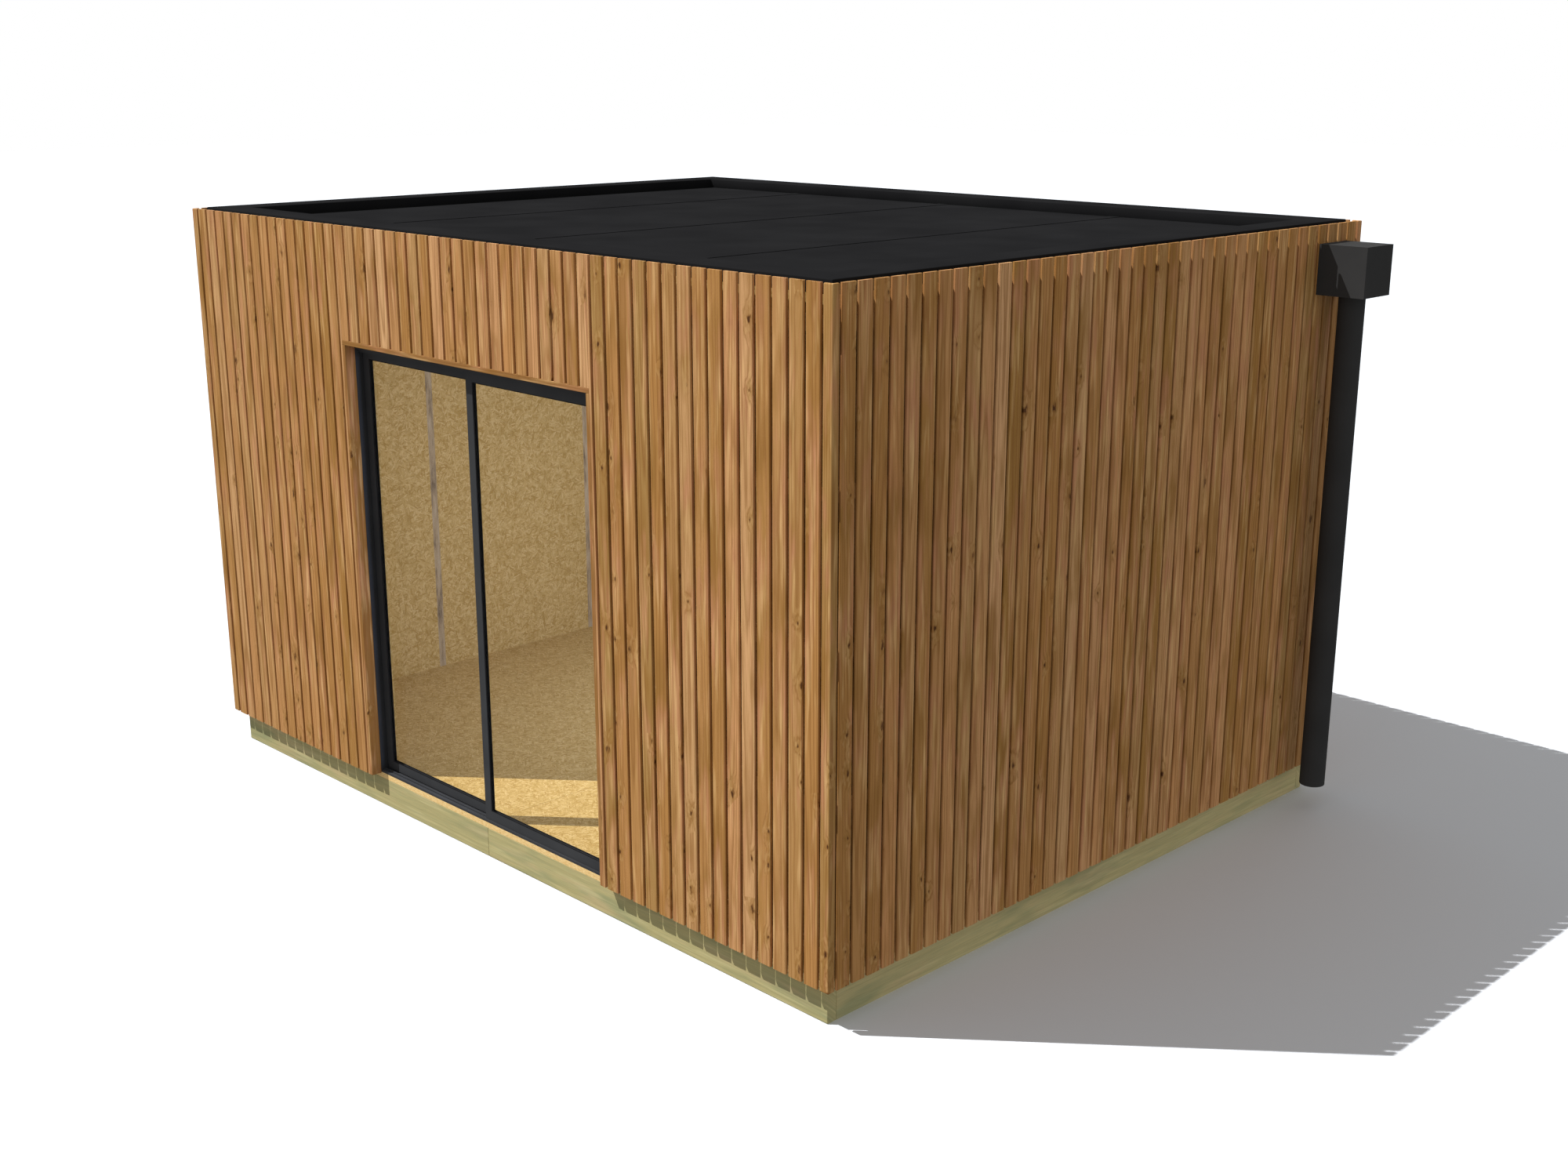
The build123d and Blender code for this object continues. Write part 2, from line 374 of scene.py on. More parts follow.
    def knots(self, tree: Tree, place: Node, chance: Socket) -> tuple[Node, ...]:
        """Scatter knots along the boards, most of them on the few knotty ones.

        Args:
            tree: The tree that gets them.
            place: Across, seed and along, as one vector.
            chance: A random number of the board, high on a knotty one.

        Returns:
            Masks of the wood about a knot, of the knot and of its rim.
        """
        width, length = (size * MM for size in self.knot_cell_mm)
        steps = add_node(tree, "SeparateXYZ", {"Vector": place}).outputs
        spread = []
        for step, cell in ((steps["X"], width), (steps["Z"], length)):
            scaled = add_node(tree, "Math", {0: step, 1: 1 / cell}, operation="MULTIPLY")
            apart = {0: steps["Y"], 1: SEED_STRIDE, 2: scaled}
            spread.append(add_node(tree, "Math", apart, operation="MULTIPLY_ADD"))
        flat = add_node(tree, "CombineXYZ", {"X": spread[0], "Y": spread[1]})
        cells = add_node(tree, "TexVoronoi", {"Vector": flat, "Scale": 1.0}, voronoi_dimensions="2D")
        draws = add_node(tree, "SeparateColor", {"Color": cells.outputs["Color"]}).outputs
        # The three boards in ten with the lowest chance have next to no knots
        clear_share = self.knotty_share / 16
        shares = {"Value": chance, "From Min": 0.3, "To Min": clear_share, "To Max": self.knotty_share}
        share = add_node(tree, "MapRange", shares)
        has_knot = add_node(tree, "Math", {0: draws["Red"], 1: share}, operation="LESS_THAN")
        growth = add_node(tree, "MapRange", {"Value": draws["Green"], "To Min": 0.6, "To Max": 1.8})
        ragged = self.streaks(tree, place, self.knot_fray_mm, detail=1.0)
        fray = {"Value": ragged, "From Min": 0.3, "From Max": 0.7, "To Min": -0.05, "To Max": 0.05}
        frayed = add_node(tree, "MapRange", fray)
        reach = add_node(tree, "Math", {0: cells, 1: growth, 2: frayed}, operation="MULTIPLY_ADD")
        masks = []
        # How far out each mask starts and where it is full, in cells
        for outer, inner in ((0.5, 0.1), (0.06, 0.015), (0.115, 0.05)):
            span = {"Value": reach, "From Min": outer, "From Max": inner}
            near = add_node(tree, "MapRange", span, interpolation_type="SMOOTHSTEP")
            masks.append(add_node(tree, "Math", {0: near, 1: has_knot}, operation="MULTIPLY"))
        return tuple(masks)


@dataclass(frozen=True)
class StockTimber(Finish):
    """Sawn structural softwood: streaks along the grain over a dull, furry surface."""

    grain: Axis
    dark: str
    middle: str
    pale: str
    streak_mm: tuple[float, float] = (9.0, 380.0)
    roughness: float = 0.85
    specular: float = 0.15
    relief_mm: float = 0.6

    def shade(self, tree: Tree) -> Node:
        """Ramp a noise that is drawn out along the grain.

        Args:
            tree: The tree that gets it.

        Returns:
            The shader.
        """
        width, length = (size * MM for size in self.streak_mm)
        scale = [1 / length if axis is self.grain else 1 / width for axis in Axis]
        place = add_node(tree, "TexCoord").outputs["Object"]
        drawn = add_node(tree, "Mapping", {"Vector": place, "Scale": scale})
        streaks = {"Vector": drawn, "Scale": 1.0, "Detail": 4.0, "Roughness": 0.6}
        noise = add_node(tree, "TexNoise", streaks)
        stops = ((0.32, self.dark), (0.5, self.middle), (0.68, self.pale))
        tone = add_node(tree, "ValToRGB", {"Fac": noise}, stops)
        return self.textured(tree, tone, self.roughness, self.specular, noise, self.relief_mm)


@dataclass(frozen=True)
class StrandBoard(Finish):
    """Pressed wood strands, laid over each other at all angles and waxed.

    The pattern lies flat on each face, whichever of the three directions it looks in.
    """

    tones: tuple[str, ...] = ("#A38247", "#AD8D52", "#B5965A", "#BC9D62", "#C5A76E")
    strand_mm: tuple[float, float] = (30.0, 6.0)
    lay_degrees: tuple[float, ...] = (8.0, 52.0, 97.0, 146.0)
    layer_shift: tuple[float, float] = (0.37, 0.71)
    roughness: float = 0.8
    specular: float = 0.1
    relief_mm: float = 0.5
    relief_strength: float = 0.4

    def shade(self, tree: Tree) -> Node:
        """Stack layers of strands; the strand with the highest draw lies on top.

        Args:
            tree: The tree that gets them.

        Returns:
            The shader.
        """
        plane = self.face_plane(tree)
        layers = [self.strands(tree, plane, number) for number in range(len(self.lay_degrees))]
        top_tone, top_draw, top_gap = layers[0]
        for tone, draw, gap in layers[1:]:
            above = add_node(tree, "Math", {0: draw, 1: top_draw}, operation="GREATER_THAN")
            top_tone, top_gap = (
                add_node(tree, "Mix", {0: above, MIX_NUMBER_A: old, MIX_NUMBER_B: new})
                for old, new in ((top_tone, tone), (top_gap, gap))
            )
            top_draw = add_node(tree, "Math", {0: draw, 1: top_draw}, operation="MAXIMUM")
        last = len(self.tones) - 1
        stops = [(0.1 + 0.8 * index / last, tone) for index, tone in enumerate(self.tones)]
        colour = add_node(tree, "ValToRGB", {"Fac": top_tone}, stops)
        # Strands darken towards their edges: partly the strands' own darker edges, partly painted shade where
        # one strand lies over another
        rim = {"Value": top_gap, "From Min": 0.3, "From Max": 0.75, "To Max": 0.3}
        edge = add_node(tree, "MapRange", rim)
        blend = {"Factor": edge, MIX_COLOUR_A: colour, MIX_COLOUR_B: linear(self.tones[0])}
        strands_with_edge_shade = add_node(tree, "Mix", blend, data_type="RGBA").outputs[MIX_COLOUR_OUT]
        return self.textured(
            tree, strands_with_edge_shade, self.roughness, self.specular, top_draw, self.relief_mm, self.relief_strength
        )

    def face_plane(self, tree: Tree) -> Node:
        """Find the place on the face: (x, y) on level faces, (x, z) or (y, z) on upright ones.

        Args:
            tree: The tree that gets the nodes.

        Returns:
            The place, as a vector.
        """
        coordinates = add_node(tree, "TexCoord").outputs
        place = add_node(tree, "SeparateXYZ", {"Vector": coordinates["Object"]}).outputs
        normal = add_node(tree, "VectorMath", {0: coordinates["Normal"]}, operation="ABSOLUTE")
        facing = add_node(tree, "SeparateXYZ", {"Vector": normal}).outputs
        steps = []
        for axis in ("X", "Z"):
            turned = add_node(tree, "Math", {0: facing[axis], 1: 0.5}, operation="GREATER_THAN")
            either = {0: turned, MIX_NUMBER_A: place[axis], MIX_NUMBER_B: place["Y"]}
            steps.append(add_node(tree, "Mix", either))
        return add_node(tree, "CombineXYZ", {"X": steps[0], "Y": steps[1]})

    def strands(self, tree: Tree, plane: Node, number: int) -> tuple[Socket, ...]:
        """Lay one layer of strands that lie about one way.

        Args:
            tree: The tree that gets it.
            plane: The place on the face.
            number: Which layer this is.

        Returns:
            Each strand's tone, its draw for lying on top, and the distance from its middle.
        """
        length, width = (size * MM for size in self.strand_mm)
        lay = {
            "Vector": plane,
            "Location": (number * self.layer_shift[0], number * self.layer_shift[1], 0.0),
            "Rotation": (0.0, 0.0, math.radians(self.lay_degrees[number])),
            "Scale": (length, width, 1.0),
        }
        turned = add_node(tree, "Mapping", lay, vector_type="TEXTURE")
        cells = add_node(tree, "TexVoronoi", {"Vector": turned, "Scale": 1.0}, voronoi_dimensions="2D")
        draws = add_node(tree, "SeparateColor", {"Color": cells.outputs["Color"]}).outputs
        return draws["Red"], draws["Green"], cells.outputs["Distance"]


@dataclass(frozen=True)
class Coating(Finish):
    """A sprayed, moulded or calendered skin: fine relief, and cloudy patches of a second tone."""

    tone: str
    cloud: str
    cloud_mm: float
    relief_mm: float
    relief_depth_mm: float
    roughness: float
    specular: float
    relief_strength: float = 0.35

    def shade(self, tree: Tree) -> Node:
        """Mix the two tones by a broad noise and press a fine one into the surface.

        Args:
            tree: The tree that gets them.

        Returns:
            The shader.
        """
        place = add_node(tree, "TexCoord").outputs["Object"]
        clouds, relief = (
            add_node(tree, "TexNoise", {"Vector": place, "Scale": 1 / (size * MM), "Detail": 3.0})
            for size in (self.cloud_mm, self.relief_mm)
        )
        stops = ((0.35, self.tone), (0.7, self.cloud))
        colour = add_node(tree, "ValToRGB", {"Fac": clouds}, stops)
        depth, strength = self.relief_depth_mm, self.relief_strength
        return self.textured(tree, colour, self.roughness, self.specular, relief, depth, strength)


@dataclass(frozen=True)
class FloatGlass(Finish):
    """Clear coated glass: it hardly mirrors what the eye sees and lets the lamps through."""

    tint: str = "#FBFDFC"
    bend: float = 1.05

    def shade(self, tree: Tree) -> Node:
        """Mix a clear pane with plain transparency for bounce light and for shadow.

        Args:
            tree: The tree that gets them.

        Returns:
            The shader.
        """
        path = add_node(tree, "LightPath").outputs
        tint = linear(self.tint)
        pane = {"Base Color": tint, "Roughness": 0.0, "IOR": self.bend, "Transmission Weight": 1.0}
        surface = add_node(tree, "BsdfPrincipled", pane)
        clear = add_node(tree, "BsdfTransparent")
        for ray in ("Is Diffuse Ray", "Is Shadow Ray"):
            surface = add_node(tree, "MixShader", {"Fac": path[ray], 1: surface, 2: clear})
        return surface


@dataclass(frozen=True)
class StudioFloor(Finish):
    """A matt pale sheet that shows white to the camera and throws an even glow back up."""

    seen: str
    glow: float

    def shade(self, tree: Tree) -> Node:
        """Mix a matt shader and a glow by what kind of ray looks at the floor.

        Args:
            tree: The tree that gets them.

        Returns:
            The shader.
        """
        path = add_node(tree, "LightPath").outputs
        bounced = add_node(tree, "Emission", {"Strength": self.glow})
        seen = add_node(tree, "BsdfDiffuse", {"Color": linear(self.seen)})
        rays = {0: path["Is Camera Ray"], 1: path["Is Transmission Ray"]}
        eye = add_node(tree, "Math", rays, operation="MAXIMUM")
        return add_node(tree, "MixShader", {"Fac": eye, 1: bounced, 2: seen})


# Planed larch, oiled: golden to pinkish boards, fine darker growth lines, a few small dark knots
OILED_LARCH = BoardTimber(
    "oiled_planed_larch",
    tones=("#A87C3B", "#D1965F", "#E1AA79", "#B38244", "#EAB785", "#AA864C", "#D39C67", "#BA864B"),
    dark_patch="#9C7036",
    warm_patch="#CD8F69",
    pale_patch="#EEC285",
    latewood="#8A5A28",
    knot="#4A2913",
    knot_rim="#855A2C",
)
# The same larch round the doorway, a shade browner: its tones are darkened as painted shade for the lining's
# shaded faces
LINING_LARCH_PAINTED_SHADE = replace(
    OILED_LARCH, name="oiled_larch_lining_painted_shade", tones=("#9E7140", "#95693A", "#A27545"), knotty_share=0.6
)
# Pressure-treated pine: straw wood with a soft green cast that lies along the grain
TREATED_PINE = BoardTimber(
    "pressure_treated_pine",
    tones=("#C3B680", "#BCB07C", "#CABC88"),
    dark_patch="#969A72",
    warm_patch="#CCB688",
    pale_patch="#D6CA96",
    latewood="#A0976A",
    knot="#7A6A44",
    knot_rim="#938458",
    growth_mm=15.0,
    growth_strength=0.35,
    patch_strength=0.75,
    knotty_share=0.02,
    specular=0.05,
)
# Sawn spruce, untreated: pale and dull
BATTEN_SPRUCE = StockTimber("sawn_spruce_battens", Axis.Y, "#8A683F", "#A07C4E", "#B08C5C")
# Sawn pine, treated: dull and greenish
JOIST_PINE = StockTimber("sawn_treated_joists", Axis.Y, "#87865A", "#9C976A", "#ADA678")
# Weathered spruce in the panel joints: grey streaks
STUD_SPRUCE = StockTimber(
    "greyed_spruce_studs", Axis.Z, "#6B5B47", "#9E8866", "#AE9A79", streak_mm=(24.0, 130.0)
)
# Waxed strand board: honey-coloured strands that lie every way, with a dull face
STRAND_PANEL = StrandBoard("waxed_strand_board")
# Freshly sawn edge of the deck sheets: much paler than their waxed faces
SAWN_EDGE = StockTimber(
    "sawn_strand_board_edge", Axis.X, "#DDB26C", "#F2CC8A", "#FADFA6", streak_mm=(3.0, 16.0)
)
# Black rubber sheet with a bloom of dust: dead matt, barely mottled
ROOF_RUBBER = Coating(
    "calendered_rubber_sheet", "#202021", "#252526",
    cloud_mm=420.0, relief_mm=2.5, relief_depth_mm=0.15, roughness=1.0, specular=0.0,
)
# Polyester powder on aluminium: an even satin charcoal with a faint orange peel
POWDER_COAT = Coating(
    "powder_coated_aluminium", "#38393B", "#3E3F41",
    cloud_mm=160.0, relief_mm=2.0, relief_depth_mm=0.03, roughness=0.55, specular=0.08,
)
# Matt paint on folded steel and on the pipe: the same charcoal, duller
RAINWATER_PAINT = Coating(
    "matt_painted_steel", "#3A3A3A", "#3F3F3F",
    cloud_mm=220.0, relief_mm=1.6, relief_depth_mm=0.06, roughness=0.85, specular=0.02,
)
# Moulded nylon: milky and a little glossy
GLIDE_NYLON = Coating(
    "moulded_nylon", "#D8D4C8", "#E2DED2",
    cloud_mm=12.0, relief_mm=1.0, relief_depth_mm=0.03, roughness=0.45, specular=0.4,
)
# Extruded rubber: a soft black line round the glass
BEAD_RUBBER = Coating(
    "extruded_bead_rubber", "#1C1C1D", "#222223",
    cloud_mm=40.0, relief_mm=1.5, relief_depth_mm=0.05, roughness=0.7, specular=0.1,
)
# Woven pile: a furry black line, duller than the rubber
PILE_FIBRE = Coating(
    "woven_pile", "#161617", "#1E1E1F",
    cloud_mm=6.0, relief_mm=0.8, relief_depth_mm=0.1, roughness=0.9, specular=0.05,
)
# Float glass with a coating against glare: the room shows clearly through it
DOOR_GLASS = FloatGlass("clear_float_glass")
# Matt sheet, a touch cool, so that the shadow on it is a plain grey beside warm boards
FLOOR_SHEET = StudioFloor("studio_floor", seen="#EAEEF3", glow=0.4)


def put_in_scene(name: str, data: bpy.types.ID) -> bpy.types.Object:
    """Make an object at the origin of the scene.

    Args:
        name: The object's name.
        data: Its mesh, light or camera.

    Returns:
        The new object.
    """
    thing = bpy.data.objects.new(name, data)
    bpy.context.scene.collection.objects.link(thing)
    return thing


def place_piece(
    name: str,
    mesh: Mesh,
    finish: Finish,
    body: Body = Body.BUILDING,
    replaced: Sequence[str] = (),
) -> None:
    """Hang a finished mesh on a body of the annex.

    Args:
        name: The piece's name.
        mesh: Its mesh, with its place in it.
        finish: Its surface.
        body: The body that it rides on.
        replaced: The solids that it stands for.
    """
    mesh.name = name
    mesh.materials.clear()
    mesh.materials.append(finish.material())
    piece = put_in_scene(name, mesh)
    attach(piece, body.value)
    if replaced:
        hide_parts(*replaced)
    LOG.info("piece %s: %d faces, %s", name, len(mesh.polygons), finish.name)


def dress(nodes: Iterable[str], finish: Finish) -> None:
    """Give solids of the frame a finish and leave their shape alone.

    Args:
        nodes: The names of the solids.
        finish: Their surface.
    """
    for node in nodes:
        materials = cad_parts[node].data.materials
        materials.clear()
        materials.append(finish.material())
        LOG.info("solid %s: %s", node, finish.name)


def mesh_from(shape: EditMesh, smooth_degrees: float = 0.0) -> Mesh:
    """Turn an edit mesh into a mesh and free it.

    Args:
        shape: The edit mesh.
        smooth_degrees: Edges flatter than this are shaded smooth; none are at 0.

    Returns:
        The mesh, with its faces pointing outwards.
    """
    bmesh.ops.recalc_face_normals(shape, faces=shape.faces)
    mesh = bpy.data.meshes.new("shape")
    shape.to_mesh(mesh)
    shape.free()
    if smooth_degrees:
        mesh.polygons.foreach_set("use_smooth", [True] * len(mesh.polygons))
        mesh.set_sharp_from_angle(angle=math.radians(smooth_degrees))
    return mesh


def bridge(shape: EditMesh, one: Sequence[bmesh.types.BMVert], other: Sequence[bmesh.types.BMVert]) -> None:
    """Close the space between two loops with a face for each side.

    Args:
        shape: The edit mesh that holds the loops.
        one: The points of the first loop, in order.
        other: As many points of the second loop.
    """
    for index, point in enumerate(one):
        after = (index + 1) % len(one)
        shape.faces.new((point, one[after], other[after], other[index]))


def prism(outline: Sequence[tuple[float, float]], low: float, high: float, axis: Axis) -> EditMesh:
    """Stretch an outline along an axis into a closed solid.

    Args:
        outline: Points of the section, in the two other axes, in order.
        low: Where the solid starts.
        high: Where it ends.
        axis: The way that it runs.

    Returns:
        The edit mesh.
    """
    shape = bmesh.new()
    cut = axis.value
    foot, top = (
        [shape.verts.new((*point[:cut], level, *point[cut:])) for point in outline] for level in (low, high)
    )
    shape.faces.new(foot)
    shape.faces.new(top)
    bridge(shape, foot, top)
    bmesh.ops.recalc_face_normals(shape, faces=shape.faces)
    return shape


def ease_edges(shape: EditMesh, width: float, segments: int = 2) -> EditMesh:
    """Round every edge where two faces meet at an angle.

    Args:
        shape: The edit mesh.
        width: How far the rounding reaches.
        segments: Faces across the rounding.

    Returns:
        The same edit mesh.
    """
    sharp = math.radians(CORNER_DEGREES)
    corners = [edge for edge in shape.edges if edge.calc_face_angle(0.0) > sharp]
    bmesh.ops.bevel(
        shape, geom=corners, offset=width, segments=segments, profile=0.5, affect="EDGES", clamp_overlap=True
    )
    return shape


def rectangle(low: Vector, high: Vector, axis: Axis) -> list[tuple[float, float]]:
    """Return the corners of a box's section across an axis, in order."""
    (left, near), (right, far) = ([corner[i] for i in range(3) if i != axis.value] for corner in (low, high))
    return [(left, near), (right, near), (right, far), (left, far)]


def rectangular_ring(low: Vector, high: Vector, inner_low: Vector, inner_high: Vector) -> EditMesh:
    """Make a level ring with upright sides and square corners.

    Args:
        low: Its lowest outer corner.
        high: Its highest outer corner.
        inner_low: The corner of its opening nearest to low; only its plan counts.
        inner_high: The corner of its opening nearest to high; only its plan counts.

    Returns:
        The edit mesh.
    """
    shape = bmesh.new()
    outer_foot, outer_top, inner_foot, inner_top = (
        [shape.verts.new((x, y, level)) for x, y in rectangle(*corners, Axis.Z)]
        for corners in ((low, high), (inner_low, inner_high))
        for level in (low.z, high.z)
    )
    loops = (outer_foot, outer_top, inner_top, inner_foot, outer_foot)
    for one, other in zip(loops, loops[1:]):
        bridge(shape, one, other)
    bmesh.ops.recalc_face_normals(shape, faces=shape.faces)
    return shape


def mark_grain(mesh: Mesh, grain: Axis, seed: float) -> Mesh:
    """Write the attributes that lay the timber pattern on a board.

    Args:
        mesh: The board.
        grain: The way that its grain runs.
        seed: A number from 0 to 1 that tells it from other boards.

    Returns:
        The same mesh.
    """
    places = [vertex.co.copy() for vertex in mesh.vertices]
    middle = sum(places, Vector()) / len(places)
    marks = {
        "board_seed": [seed] * len(places),
        "board_across": [sum(place - middle) - (place - middle)[grain.value] for place in places],
        "board_along": [place[grain.value] for place in places],
    }
    for name, values in marks.items():
        mesh.attributes.new(name, "FLOAT", "POINT").data.foreach_set("value", values)
    return mesh


def eased_board(low: Vector, high: Vector, arris: float, grain: Axis, seed: float) -> Mesh:
    """Make one planed board with rounded edges.

    Args:
        low: Its lowest corner.
        high: Its highest corner.
        arris: The radius of its edges.
        grain: The way that its grain runs.
        seed: A number from 0 to 1 that tells it from other boards.

    Returns:
        The board's mesh, marked for the timber pattern.
    """
    shape = prism(rectangle(low, high, grain), low[grain.value], high[grain.value], grain)
    return mark_grain(mesh_from(ease_edges(shape, arris)), grain, seed)


def joined(meshes: Sequence[Mesh]) -> Mesh:
    """Join meshes, with their attributes.

    Args:
        meshes: The meshes.

    Returns:
        One new mesh.
    """
    whole = bmesh.new()
    for mesh in meshes:
        whole.from_mesh(mesh)
    mesh = bpy.data.meshes.new("joined")
    whole.to_mesh(mesh)
    whole.free()
    return mesh


@dataclass
class NodeShape(ABC):
    """A shape made by a tree of Geometry Nodes with a named input for each of its sizes."""

    finish: Finish

    def inputs(self) -> dict[str, float | int]:
        """Return the value of each named input: every field but the finish."""
        return {field.name: getattr(self, field.name) for field in fields(self) if field.name != "finish"}

    @abstractmethod
    def grow(self, tree: Tree, given: dict[str, Socket]) -> Node:
        """Build the tree's nodes between its inputs and the shape.

        Args:
            tree: The tree to fill.
            given: The tree's inputs, by name.

        Returns:
            The geometry, before its instances are realized.
        """

    def mesh(self) -> Mesh:
        """Evaluate the tree once.

        Returns:
            The result, as a plain mesh.
        """
        values = {**self.inputs(), "material": self.finish.material()}
        tree = bpy.data.node_groups.new(type(self).__name__, "GeometryNodeTree")
        for name, value in values.items():
            tree.interface.new_socket(name, in_out="INPUT", socket_type=SOCKET_KINDS[type(value)])
        tree.interface.new_socket("Geometry", in_out="OUTPUT", socket_type="NodeSocketGeometry")
        source = add_node(tree, "NodeGroupInput")
        given = {name: source.outputs[name] for name in values}
        realized = add_node(tree, "GeometryNodeRealizeInstances", {"Geometry": self.grow(tree, given)})
        coat = {"Geometry": realized, "Material": given["material"]}
        dressed = add_node(tree, "GeometryNodeSetMaterial", coat)
        add_node(tree, "NodeGroupOutput", {"Geometry": dressed})

        carrier = put_in_scene("carrier", bpy.data.meshes.new("carrier"))
        modifier = carrier.modifiers.new("nodes", "NODES")
        modifier.node_group = tree
        for item in tree.interface.items_tree:
            if item.in_out == "INPUT":
                modifier[item.identifier] = values[item.name]
        graph = bpy.context.evaluated_depsgraph_get()
        mesh = bpy.data.meshes.new_from_object(
            carrier.evaluated_get(graph), preserve_all_data_layers=True, depsgraph=graph
        )
        carrier.modifiers.remove(modifier)
        bpy.data.objects.remove(carrier)
        return mesh


@dataclass
class UprightBoards(NodeShape):
    """A run of upright boards with open joints, cut off at both ends of the run.

    The run goes along X from 0, the boards' faces look towards -Y and lie on Y = 0.
    """

    count: int
    run: float
    pitch: float
    gap: float
    first_gap: float
    height: float
    thickness: float
    arris: float
    seed: int
    arris_points: int = 3
    seat_play: float = 0.9 * MM
    thinnest: float = 6 * MM

    def grow(self, tree: Tree, given: dict[str, Socket]) -> Node:
        """Stand one board on each place of the run, narrowed where the run ends within it.

        Args:
            tree: The tree to fill.
            given: The tree's inputs, by name.

        Returns:
            The boards, as instances with a seed each.
        """
        full = add_node(tree, "Math", {0: given["pitch"], 1: given["gap"]}, operation="SUBTRACT")
        board = self.board(tree, given, full)
        row = add_node(tree, "GeometryNodeMeshLine", {"Count": given["count"], "Offset": (0.0, 0.0, 0.0)})
        index = add_node(tree, "GeometryNodeInputIndex")
        half_gap = {0: given["gap"], 1: 0.5, 2: given["first_gap"]}
        start = add_node(tree, "Math", half_gap, operation="MULTIPLY_ADD")
        left = add_node(tree, "Math", {0: index, 1: given["pitch"], 2: start}, operation="MULTIPLY_ADD")
        right = add_node(tree, "Math", {0: left, 1: full}, operation="ADD")
        near, far = (
            add_node(tree, "Clamp", {"Value": edge, "Max": given["run"]}) for edge in (left, right)
        )
        width, ends = (
            add_node(tree, "Math", {0: far, 1: near}, operation=way) for way in ("SUBTRACT", "ADD")
        )
        middle = add_node(tree, "Math", {0: ends, 1: 0.5}, operation="MULTIPLY")
        share = add_node(tree, "Math", {0: width, 1: full}, operation="DIVIDE")
        kept = add_node(tree, "Math", {0: width, 1: given["thinnest"]}, operation="GREATER_THAN")
        seat, draw = (
            add_node(
                tree,
                "FunctionNodeRandomValue",
                {RANDOM_LOW: 0.0, RANDOM_HIGH: most, "Seed": given["seed"]},
            ).outputs[RANDOM_OUT]
            for most in (given["seat_play"], 1.0)
        )
        place = add_node(tree, "CombineXYZ", {"X": middle, "Y": seat})
        widen = add_node(tree, "CombineXYZ", {"X": share, "Y": 1.0, "Z": 1.0})
        set_out = add_node(tree, "GeometryNodeSetPosition", {"Geometry": row, "Position": place})
        stand = {"Points": set_out, "Selection": kept, "Instance": board, "Scale": widen}
        stood = add_node(tree, "GeometryNodeInstanceOnPoints", stand)
        seeds = {"Geometry": stood, "Name": "board_seed", "Value": draw}
        return add_node(tree, "GeometryNodeStoreNamedAttribute", seeds, domain="INSTANCE")

    def board(self, tree: Tree, given: dict[str, Socket], width: Node) -> Node:
        """Make one full board, its face on Y = 0 and its middle on X = 0, marked for the timber pattern.

        Args:
            tree: The tree that gets it.
            given: The tree's inputs, by name.
            width: How wide the board is.

        Returns:
            The board.
        """
        oblong = {"Width": width, "Height": given["thickness"]}
        section = add_node(tree, "GeometryNodeCurvePrimitiveQuadrilateral", oblong)
        ease = {"Curve": section, "Count": given["arris_points"], "Radius": given["arris"]}
        eased = add_node(tree, "GeometryNodeFilletCurve", ease, mode="POLY")
        flat = add_node(tree, "GeometryNodeFillCurve", {"Curve": eased}, mode="NGONS")
        rise = add_node(tree, "CombineXYZ", {"Z": given["height"]})
        lift = {"Mesh": flat, "Offset": rise, "Individual": False}
        raised = add_node(tree, "GeometryNodeExtrudeMesh", lift)
        foot = add_node(tree, "GeometryNodeFlipFaces", {"Mesh": flat})
        halves = add_node(tree, "GeometryNodeJoinGeometry")
        for half in (foot, raised):
            tree.links.new(half.outputs[0], halves.inputs[0])
        closed = add_node(tree, "GeometryNodeMergeByDistance", {"Geometry": halves, "Distance": MERGE_REACH})
        half_depth = add_node(tree, "Math", {0: given["thickness"], 1: 0.5}, operation="MULTIPLY")
        inward = add_node(tree, "CombineXYZ", {"Y": half_depth})
        shape = add_node(tree, "GeometryNodeTransform", {"Geometry": closed, "Translation": inward})
        place = add_node(tree, "GeometryNodeInputPosition")
        steps = add_node(tree, "SeparateXYZ", {"Vector": place}).outputs
        across = add_node(tree, "Math", {0: steps["X"], 1: steps["Y"]}, operation="ADD")
        for name, value in (("board_across", across), ("board_along", steps["Z"])):
            mark = {"Geometry": shape, "Name": name, "Value": value}
            shape = add_node(tree, "GeometryNodeStoreNamedAttribute", mark)
        return shape


@dataclass
class GlazingBead(NodeShape):
    """A rubber bead that runs round an opening, its outer edge on the opening's."""

    width: float
    height: float
    bead_width: float
    bead_depth: float
    ease_points: int = 2

    def inputs(self) -> dict[str, float | int]:
        """Work out the sizes of the bead's path and of its section.

        Returns:
            The value of each named input.
        """
        return {
            "path_width": self.width - self.bead_width,
            "path_height": self.height - self.bead_width,
            # The section stands across the mitre at each corner, so it is wider by the root of two
            "section_width": self.bead_width * math.sqrt(2),
            "section_depth": self.bead_depth,
            "ease": self.bead_depth / 4,
            "ease_points": self.ease_points,
        }

    def grow(self, tree: Tree, given: dict[str, Socket]) -> Node:
        """Sweep a small rounded section round the opening.

        Args:
            tree: The tree to fill.
            given: The tree's inputs, by name.

        Returns:
            The bead.
        """
        path, section = (
            add_node(tree, "GeometryNodeCurvePrimitiveQuadrilateral", {"Width": width, "Height": height})
            for width, height in (
                (given["path_width"], given["path_height"]),
                (given["section_width"], given["section_depth"]),
            )
        )
        ease = {"Curve": section, "Count": given["ease_points"], "Radius": given["ease"]}
        eased = add_node(tree, "GeometryNodeFilletCurve", ease, mode="POLY")
        return add_node(tree, "GeometryNodeCurveToMesh", {"Curve": path, "Profile Curve": eased})


